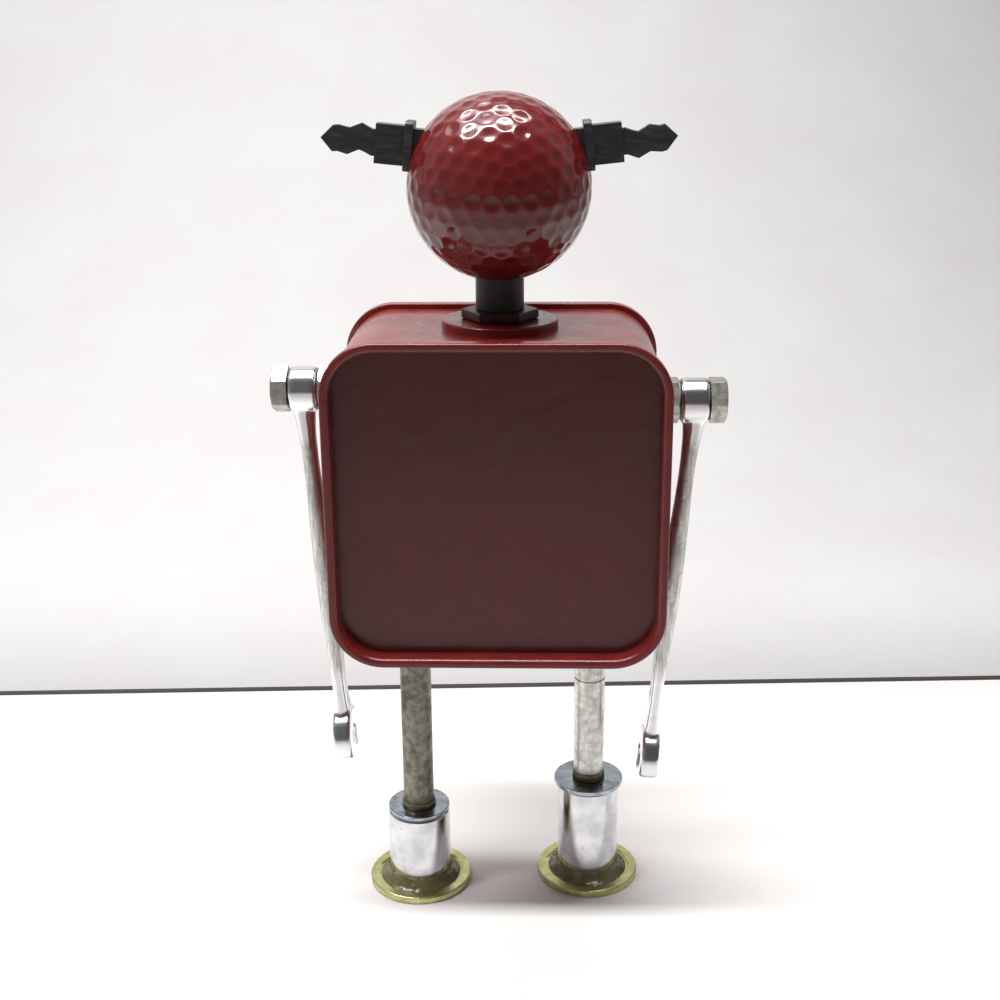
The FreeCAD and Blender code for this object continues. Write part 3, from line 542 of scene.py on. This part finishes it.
class ROBOT_OT_wrench_arms(bpy.types.Operator):
    """Blend the wrenches as forgings and plate them with chrome"""
    bl_idname = "robot.wrench_arms"
    bl_label = "Wrench arms"

    def execute(self, context):
        settings = context.scene.robot_hardware
        low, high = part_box("left_arm_wrench")
        length = high.z - low.z
        chrome = forged_chrome(settings, jaw_top=low.z + 0.2 * length, ring_foot=low.z + 0.84 * length)
        for side in SIDES:
            node = side + "_arm_wrench"
            bm = merged_copy(node)
            bmesh.ops.triangulate(bm, faces=bm.faces)
            blank = bpy.data.meshes.new(side + "_blank")
            bm.to_mesh(blank)
            bm.free()
            forging = bpy.data.objects.new(side + "_blank", blank)
            context.scene.collection.objects.link(forging)
            remesh = forging.modifiers.new("Forged", "REMESH")
            remesh.mode = "VOXEL"
            remesh.voxel_size = settings.forging_grain
            smooth = forging.modifiers.new("Polished", "SMOOTH")
            smooth.factor = 0.5
            smooth.iterations = POLISH_PASSES
            evaluated = forging.evaluated_get(context.evaluated_depsgraph_get())
            forged = bpy.data.meshes.new_from_object(evaluated)
            bm = bmesh.new()
            bm.from_mesh(forged)
            bpy.data.objects.remove(forging)
            bpy.data.meshes.remove(blank)
            bpy.data.meshes.remove(forged)
            piece_from(bm, side + "_forged_wrench", [node], chrome, 75.0)
        return {"FINISHED"}


class ROBOT_OT_shoulders(bpy.types.Operator):
    """Plate the shoulder bolts and every nut, washer and stud of steel"""
    bl_idname = "robot.shoulders"
    bl_label = "Shoulder bolts"

    def execute(self, context):
        settings = context.scene.robot_hardware
        zinc = plated_metal("aged_zinc_plate", settings.zinc, linear("#9b998f"), grain=(0.4, 2.2, 0.5),
                            smooth=0.3, rough=0.48, depth=0.04, patch=2.2)
        for side in SIDES:
            worked_piece(side + "_shoulder_bolt", side + "_hex_bolt", zinc, 0.14)
            worked_piece(side + "_shoulder_outer_nut", side + "_hex_nut", zinc, 0.14)
            for fastener in ("shoulder_inner_washer", "shoulder_inner_nut",
                             "leg_outer_nut", "leg_inner_washer", "leg_inner_nut"):
                finish_node(side + "_" + fastener, zinc)
        for node in ("neck_stud", "neck_inner_washer", "neck_lock_nut"):
            finish_node(node, zinc)
        return {"FINISHED"}


class ROBOT_OT_legs(bpy.types.Operator):
    """Finish the dark and the bright steel rod"""
    bl_idname = "robot.legs"
    bl_label = "Leg rods"

    def execute(self, context):
        dark = plated_metal("black_rolled_steel", linear("#87857a"), linear("#656359"),
                            grain=(0.5, 0.5, 4.0), smooth=0.34, rough=0.5, depth=0.04, patch=2.0)
        bright = plated_metal("drawn_bright_steel", linear("#d8d8d4"), linear("#b9b9b3"),
                              grain=(0.4, 0.4, 6.0), smooth=0.26, rough=0.4, depth=0.03, patch=1.8)
        finish_node("left_leg_rod", dark)
        finish_node("right_leg_rod", bright)
        return {"FINISHED"}


class ROBOT_OT_feet(bpy.types.Operator):
    """Make the sleeves, washers, discs and the glue round them"""
    bl_idname = "robot.feet"
    bl_label = "Feet"

    def execute(self, context):
        settings = context.scene.robot_feet
        chrome = plated_metal("turned_chrome_sleeve", context.scene.robot_hardware.chrome, linear("#c4c6ca"),
                              grain=(6.0, 6.0, 0.35), smooth=0.09, rough=0.17, depth=0.01, patch=5.0)
        zinc = plated_metal("bright_zinc_washer", linear("#b3bcc5"), linear("#8c949b"), grain=(3.0, 3.0, 3.0),
                            smooth=0.14, rough=0.28, depth=0.02, patch=2.5)
        brass = plated_metal("tarnished_pale_brass", settings.brass, linear("#b8b67a"), grain=(0.9, 0.9, 0.9),
                             smooth=0.26, rough=0.4, depth=0.03, patch=3.0)
        resin = squeezed_epoxy(settings)
        for side in SIDES:
            worked_piece(side + "_foot_sleeve", side + "_chrome_sleeve", chrome, 0.15)
            worked_piece(side + "_foot_washer", side + "_zinc_washer", zinc, 0.2)
            worked_piece(side + "_foot_disc", side + "_brass_disc", brass, 0.12)
            self.glue(side + "_foot_glue", side + "_epoxy_fillet", resin, lift=0.16, size=2.6)
            self.glue(side + "_rod_glue", side + "_glue_bead", resin, lift=0.1, size=1.6)
        return {"FINISHED"}

    def glue(self, node, name, material, lift, size):
        """A ring of glue whose skin swells and sinks, both sizes in millimetres."""
        bm = merged_copy(node)
        bmesh.ops.triangulate(bm, faces=bm.faces)
        bmesh.ops.subdivide_edges(bm, edges=bm.edges, cuts=1, use_grid_fill=True)
        bm.normal_update()
        for vert in bm.verts:
            swell = noise.fractal(vert.co / (size * MM), 1.0, 2.0, 3)
            if vert.normal.z > -0.5:          # the underside stays flat on what it is glued to
                vert.co += vert.normal * (lift * MM * swell)
        piece_from(bm, name, [node], material, 60.0)


class ROBOT_OT_stage(bpy.types.Operator):
    """Lay the pale floor and sweep, and set the camera and the soft lights"""
    bl_idname = "robot.stage"
    bl_label = "Stage"

    def execute(self, context):
        settings = context.scene.robot_stage
        scene = context.scene
        scene.view_settings.view_transform = "Standard"
        white = uncoated_card("uncoated_white_card", settings.paper, linear("#e9e4e3"))
        # Painted shade: the sweep card is greyer than the floor card, as an upright wall takes less light.
        shaded_backdrop = uncoated_card("backdrop_card_painted_shade", settings.backdrop, linear("#c3c0bf"))
        # Painted shade: the mat and the table in front are greyer, as the floor there lies in the shade of
        # the camera side.
        front_shade_mat = uncoated_card("front_mat_painted_shade", linear("#cbc7c4"), linear("#c1bcb9"))
        table_shade = uncoated_card("table_painted_shade", linear("#b6b2af"), linear("#aca8a5"))
        # Painted shadow: a dark strip lies in the seam between the floor card and the sweep.
        seam_shadow = uncoated_card("painted_seam_shadow", linear("#2b2a29"), linear("#3c3b39"))
        # The cards in front of the figure are laid greyer as painted shade of the camera side.
        self.card(scene, "table_top", 1.1, -1.0, 0.3, -2 * CARD_THICK, table_shade)
        self.card(scene, "front_shade_card", 1.1, -0.3, 0.12, -CARD_THICK, front_shade_mat)
        self.card(scene, "floor_card", 1.1, -0.12, SEAM_SHADOW_FRONT, 0.0, white)
        self.card(scene, "seam_shadow_strip", 1.1, SEAM_SHADOW_FRONT, SEAM_SHADOW_BACK, 0.0, seam_shadow)
        self.card(scene, "back_sweep", 1.3, SEAM_SHADOW_BACK, 0.24, 0.0, shaded_backdrop, bend=0.5)
        self.light(scene, "front_strip", (-0.2, -0.15, 1.1), 0.0, 1.0, 0.1, settings.front_power)
        self.light(scene, "back_strip", (-0.03, 0.27, 1.05), 0.0, 0.9, 0.1, settings.back_power)
        self.light(scene, "back_wash", (-0.35, 0.3, 1.15), 12.0, 0.8, 0.5, settings.wash_power)
        self.room(scene)
        self.camera(scene, settings)
        return {"FINISHED"}

    def card(self, scene, name, half_width, front, back, height, material, bend=0.0):
        """A card lying flat from front to back, and turned up behind with a bend of a given radius."""
        bm = bmesh.new()
        edge = bm.edges.new([bm.verts.new((x, front, height)) for x in (-half_width, half_width)])
        row = bmesh.ops.extrude_edge_only(bm, edges=[edge])["geom"]
        verts = [g for g in row if isinstance(g, bmesh.types.BMVert)]
        bmesh.ops.translate(bm, verts=verts, vec=(0, back - front, 0))
        if bend:
            far = [g for g in row if not isinstance(g, bmesh.types.BMFace)]
            spun = bmesh.ops.spin(bm, geom=far, cent=(0, back, height + bend), axis=(1, 0, 0),
                                  angle=math.pi / 2, steps=24, use_duplicate=False)["geom_last"]
            top = [g for g in spun if isinstance(g, bmesh.types.BMEdge)]
            row = bmesh.ops.extrude_edge_only(bm, edges=top)["geom"]
            verts = [g for g in row if isinstance(g, bmesh.types.BMVert)]
            bmesh.ops.translate(bm, verts=verts, vec=(0, 0, 0.8))
        bmesh.ops.rotate(bm, verts=bm.verts, cent=(0, 0, 0), matrix=Matrix.Rotation(CARD_TURN, 3, "Z"))
        bmesh.ops.recalc_face_normals(bm, faces=bm.faces)
        if sum(f.normal.z for f in bm.faces) < 0:
            bmesh.ops.reverse_faces(bm, faces=bm.faces)
        mesh = bpy.data.meshes.new(name)
        bm.to_mesh(mesh)
        bm.free()
        mesh.materials.append(material)
        mesh.polygons.foreach_set("use_smooth", [True] * len(mesh.polygons))
        card = bpy.data.objects.new(name, mesh)
        scene.collection.objects.link(card)
        wall = card.modifiers.new("Card thickness", "SOLIDIFY")
        wall.thickness = CARD_THICK
        wall.offset = -1.0

    def light(self, scene, name, place, tilt, width, depth, power):
        """A soft rectangular light that faces down, tilted back by some degrees."""
        data = bpy.data.lights.new(name, "AREA")
        data.shape = "RECTANGLE"
        data.size = width
        data.size_y = depth
        data.energy = power
        lamp = bpy.data.objects.new(name, data)
        lamp.location = place
        lamp.rotation_euler = (math.radians(tilt), 0.0, 0.0)
        scene.collection.objects.link(lamp)

    def room(self, scene):
        """A room that is dim in front of the figure and pale above and behind it."""
        world = bpy.data.worlds.new("room")
        world.use_nodes = True
        tree = world.node_tree
        tree.nodes.clear()
        toward = add(tree, "ShaderNodeTexCoord").outputs["Generated"]
        toward = add(tree, "ShaderNodeSeparateXYZ", None, {"Vector": toward})
        behind = add(tree, "ShaderNodeMapRange", {"interpolation_type": "SMOOTHSTEP"}, {
            "Value": toward.outputs["Y"], "From Min": -0.5, "From Max": 0.5})
        walls = add(tree, "ShaderNodeMix", {"data_type": "RGBA"}, {
            0: behind, 6: (0.085, 0.08, 0.08, 1), 7: (0.38, 0.38, 0.38, 1)}).outputs[2]
        beside = add(tree, "ShaderNodeMapRange", {"interpolation_type": "SMOOTHSTEP"}, {
            "Value": toward.outputs["X"], "From Min": -1.0, "From Max": 0.2, "To Min": 0.2, "To Max": 0.0})
        walls = add(tree, "ShaderNodeMix", {"data_type": "RGBA"}, {
            0: beside, 6: walls, 7: (0.8, 0.82, 0.85, 1)}).outputs[2]
        seen = add(tree, "ShaderNodeLightPath").outputs["Is Camera Ray"]
        shown = add(tree, "ShaderNodeMix", {"data_type": "RGBA"}, {
            0: seen, 6: walls, 7: linear("#ece9e8")}).outputs[2]
        back = add(tree, "ShaderNodeBackground", None, {"Color": shown, "Strength": 1.0})
        add(tree, "ShaderNodeOutputWorld", None, {"Surface": back})
        scene.world = world

    def camera(self, scene, settings):
        """The camera, held a little above the head and looking down at the figure."""
        data = bpy.data.cameras.new("camera")
        data.lens = settings.lens
        data.sensor_width = 36.0
        data.clip_start = 0.01
        camera = bpy.data.objects.new("camera", data)
        down, turn, roll = 0.320577, -0.028494, -0.006668
        ahead = Vector((math.sin(turn) * math.cos(down), math.cos(turn) * math.cos(down), -math.sin(down)))
        across = Vector((math.cos(turn), -math.sin(turn), 0.0))
        upward = across.cross(ahead)
        right = math.cos(roll) * across + math.sin(roll) * upward
        top = right.cross(ahead)
        axes = Matrix((right, top, -ahead)).transposed()
        camera.rotation_mode = "QUATERNION"
        camera.rotation_quaternion = axes.to_quaternion()
        camera.location = Vector((9.375, -325.006, 214.217)) * MM
        scene.collection.objects.link(camera)
        scene.camera = camera


class ROBOT_PT_panel(bpy.types.Panel):
    """Lists the figure's pieces and their settings"""
    bl_idname = "ROBOT_PT_panel"
    bl_label = "Tin robot"
    bl_space_type = "VIEW_3D"
    bl_region_type = "UI"
    bl_category = "Tin robot"

    def draw(self, context):
        for group in SETTINGS:
            box = self.layout.box()
            for name in SETTINGS[group].__annotations__:
                box.prop(getattr(context.scene, group), name)
        for operator in OPERATORS:
            self.layout.operator(operator.bl_idname)


SETTINGS = {
    "robot_body": RobotBodySettings,
    "robot_head": RobotHeadSettings,
    "robot_hardware": RobotHardwareSettings,
    "robot_feet": RobotFeetSettings,
    "robot_stage": RobotStageSettings,
}
OPERATORS = (
    ROBOT_OT_stage,
    ROBOT_OT_tin_body,
    ROBOT_OT_head_ball,
    ROBOT_OT_ear_keys,
    ROBOT_OT_wrench_arms,
    ROBOT_OT_shoulders,
    ROBOT_OT_legs,
    ROBOT_OT_feet,
)


def register():
    for cls in (*SETTINGS.values(), *OPERATORS, ROBOT_PT_panel):
        bpy.utils.register_class(cls)
    for group, cls in SETTINGS.items():
        setattr(bpy.types.Scene, group, PointerProperty(type=cls))


def unregister():
    for group in SETTINGS:
        delattr(bpy.types.Scene, group)
    for cls in (ROBOT_PT_panel, *reversed(OPERATORS), *reversed(SETTINGS.values())):
        bpy.utils.unregister_class(cls)


def main():
    register()
    for operator in OPERATORS:
        family, name = operator.bl_idname.split(".")
        getattr(getattr(bpy.ops, family), name)()


if __name__ == "__main__":
    main()
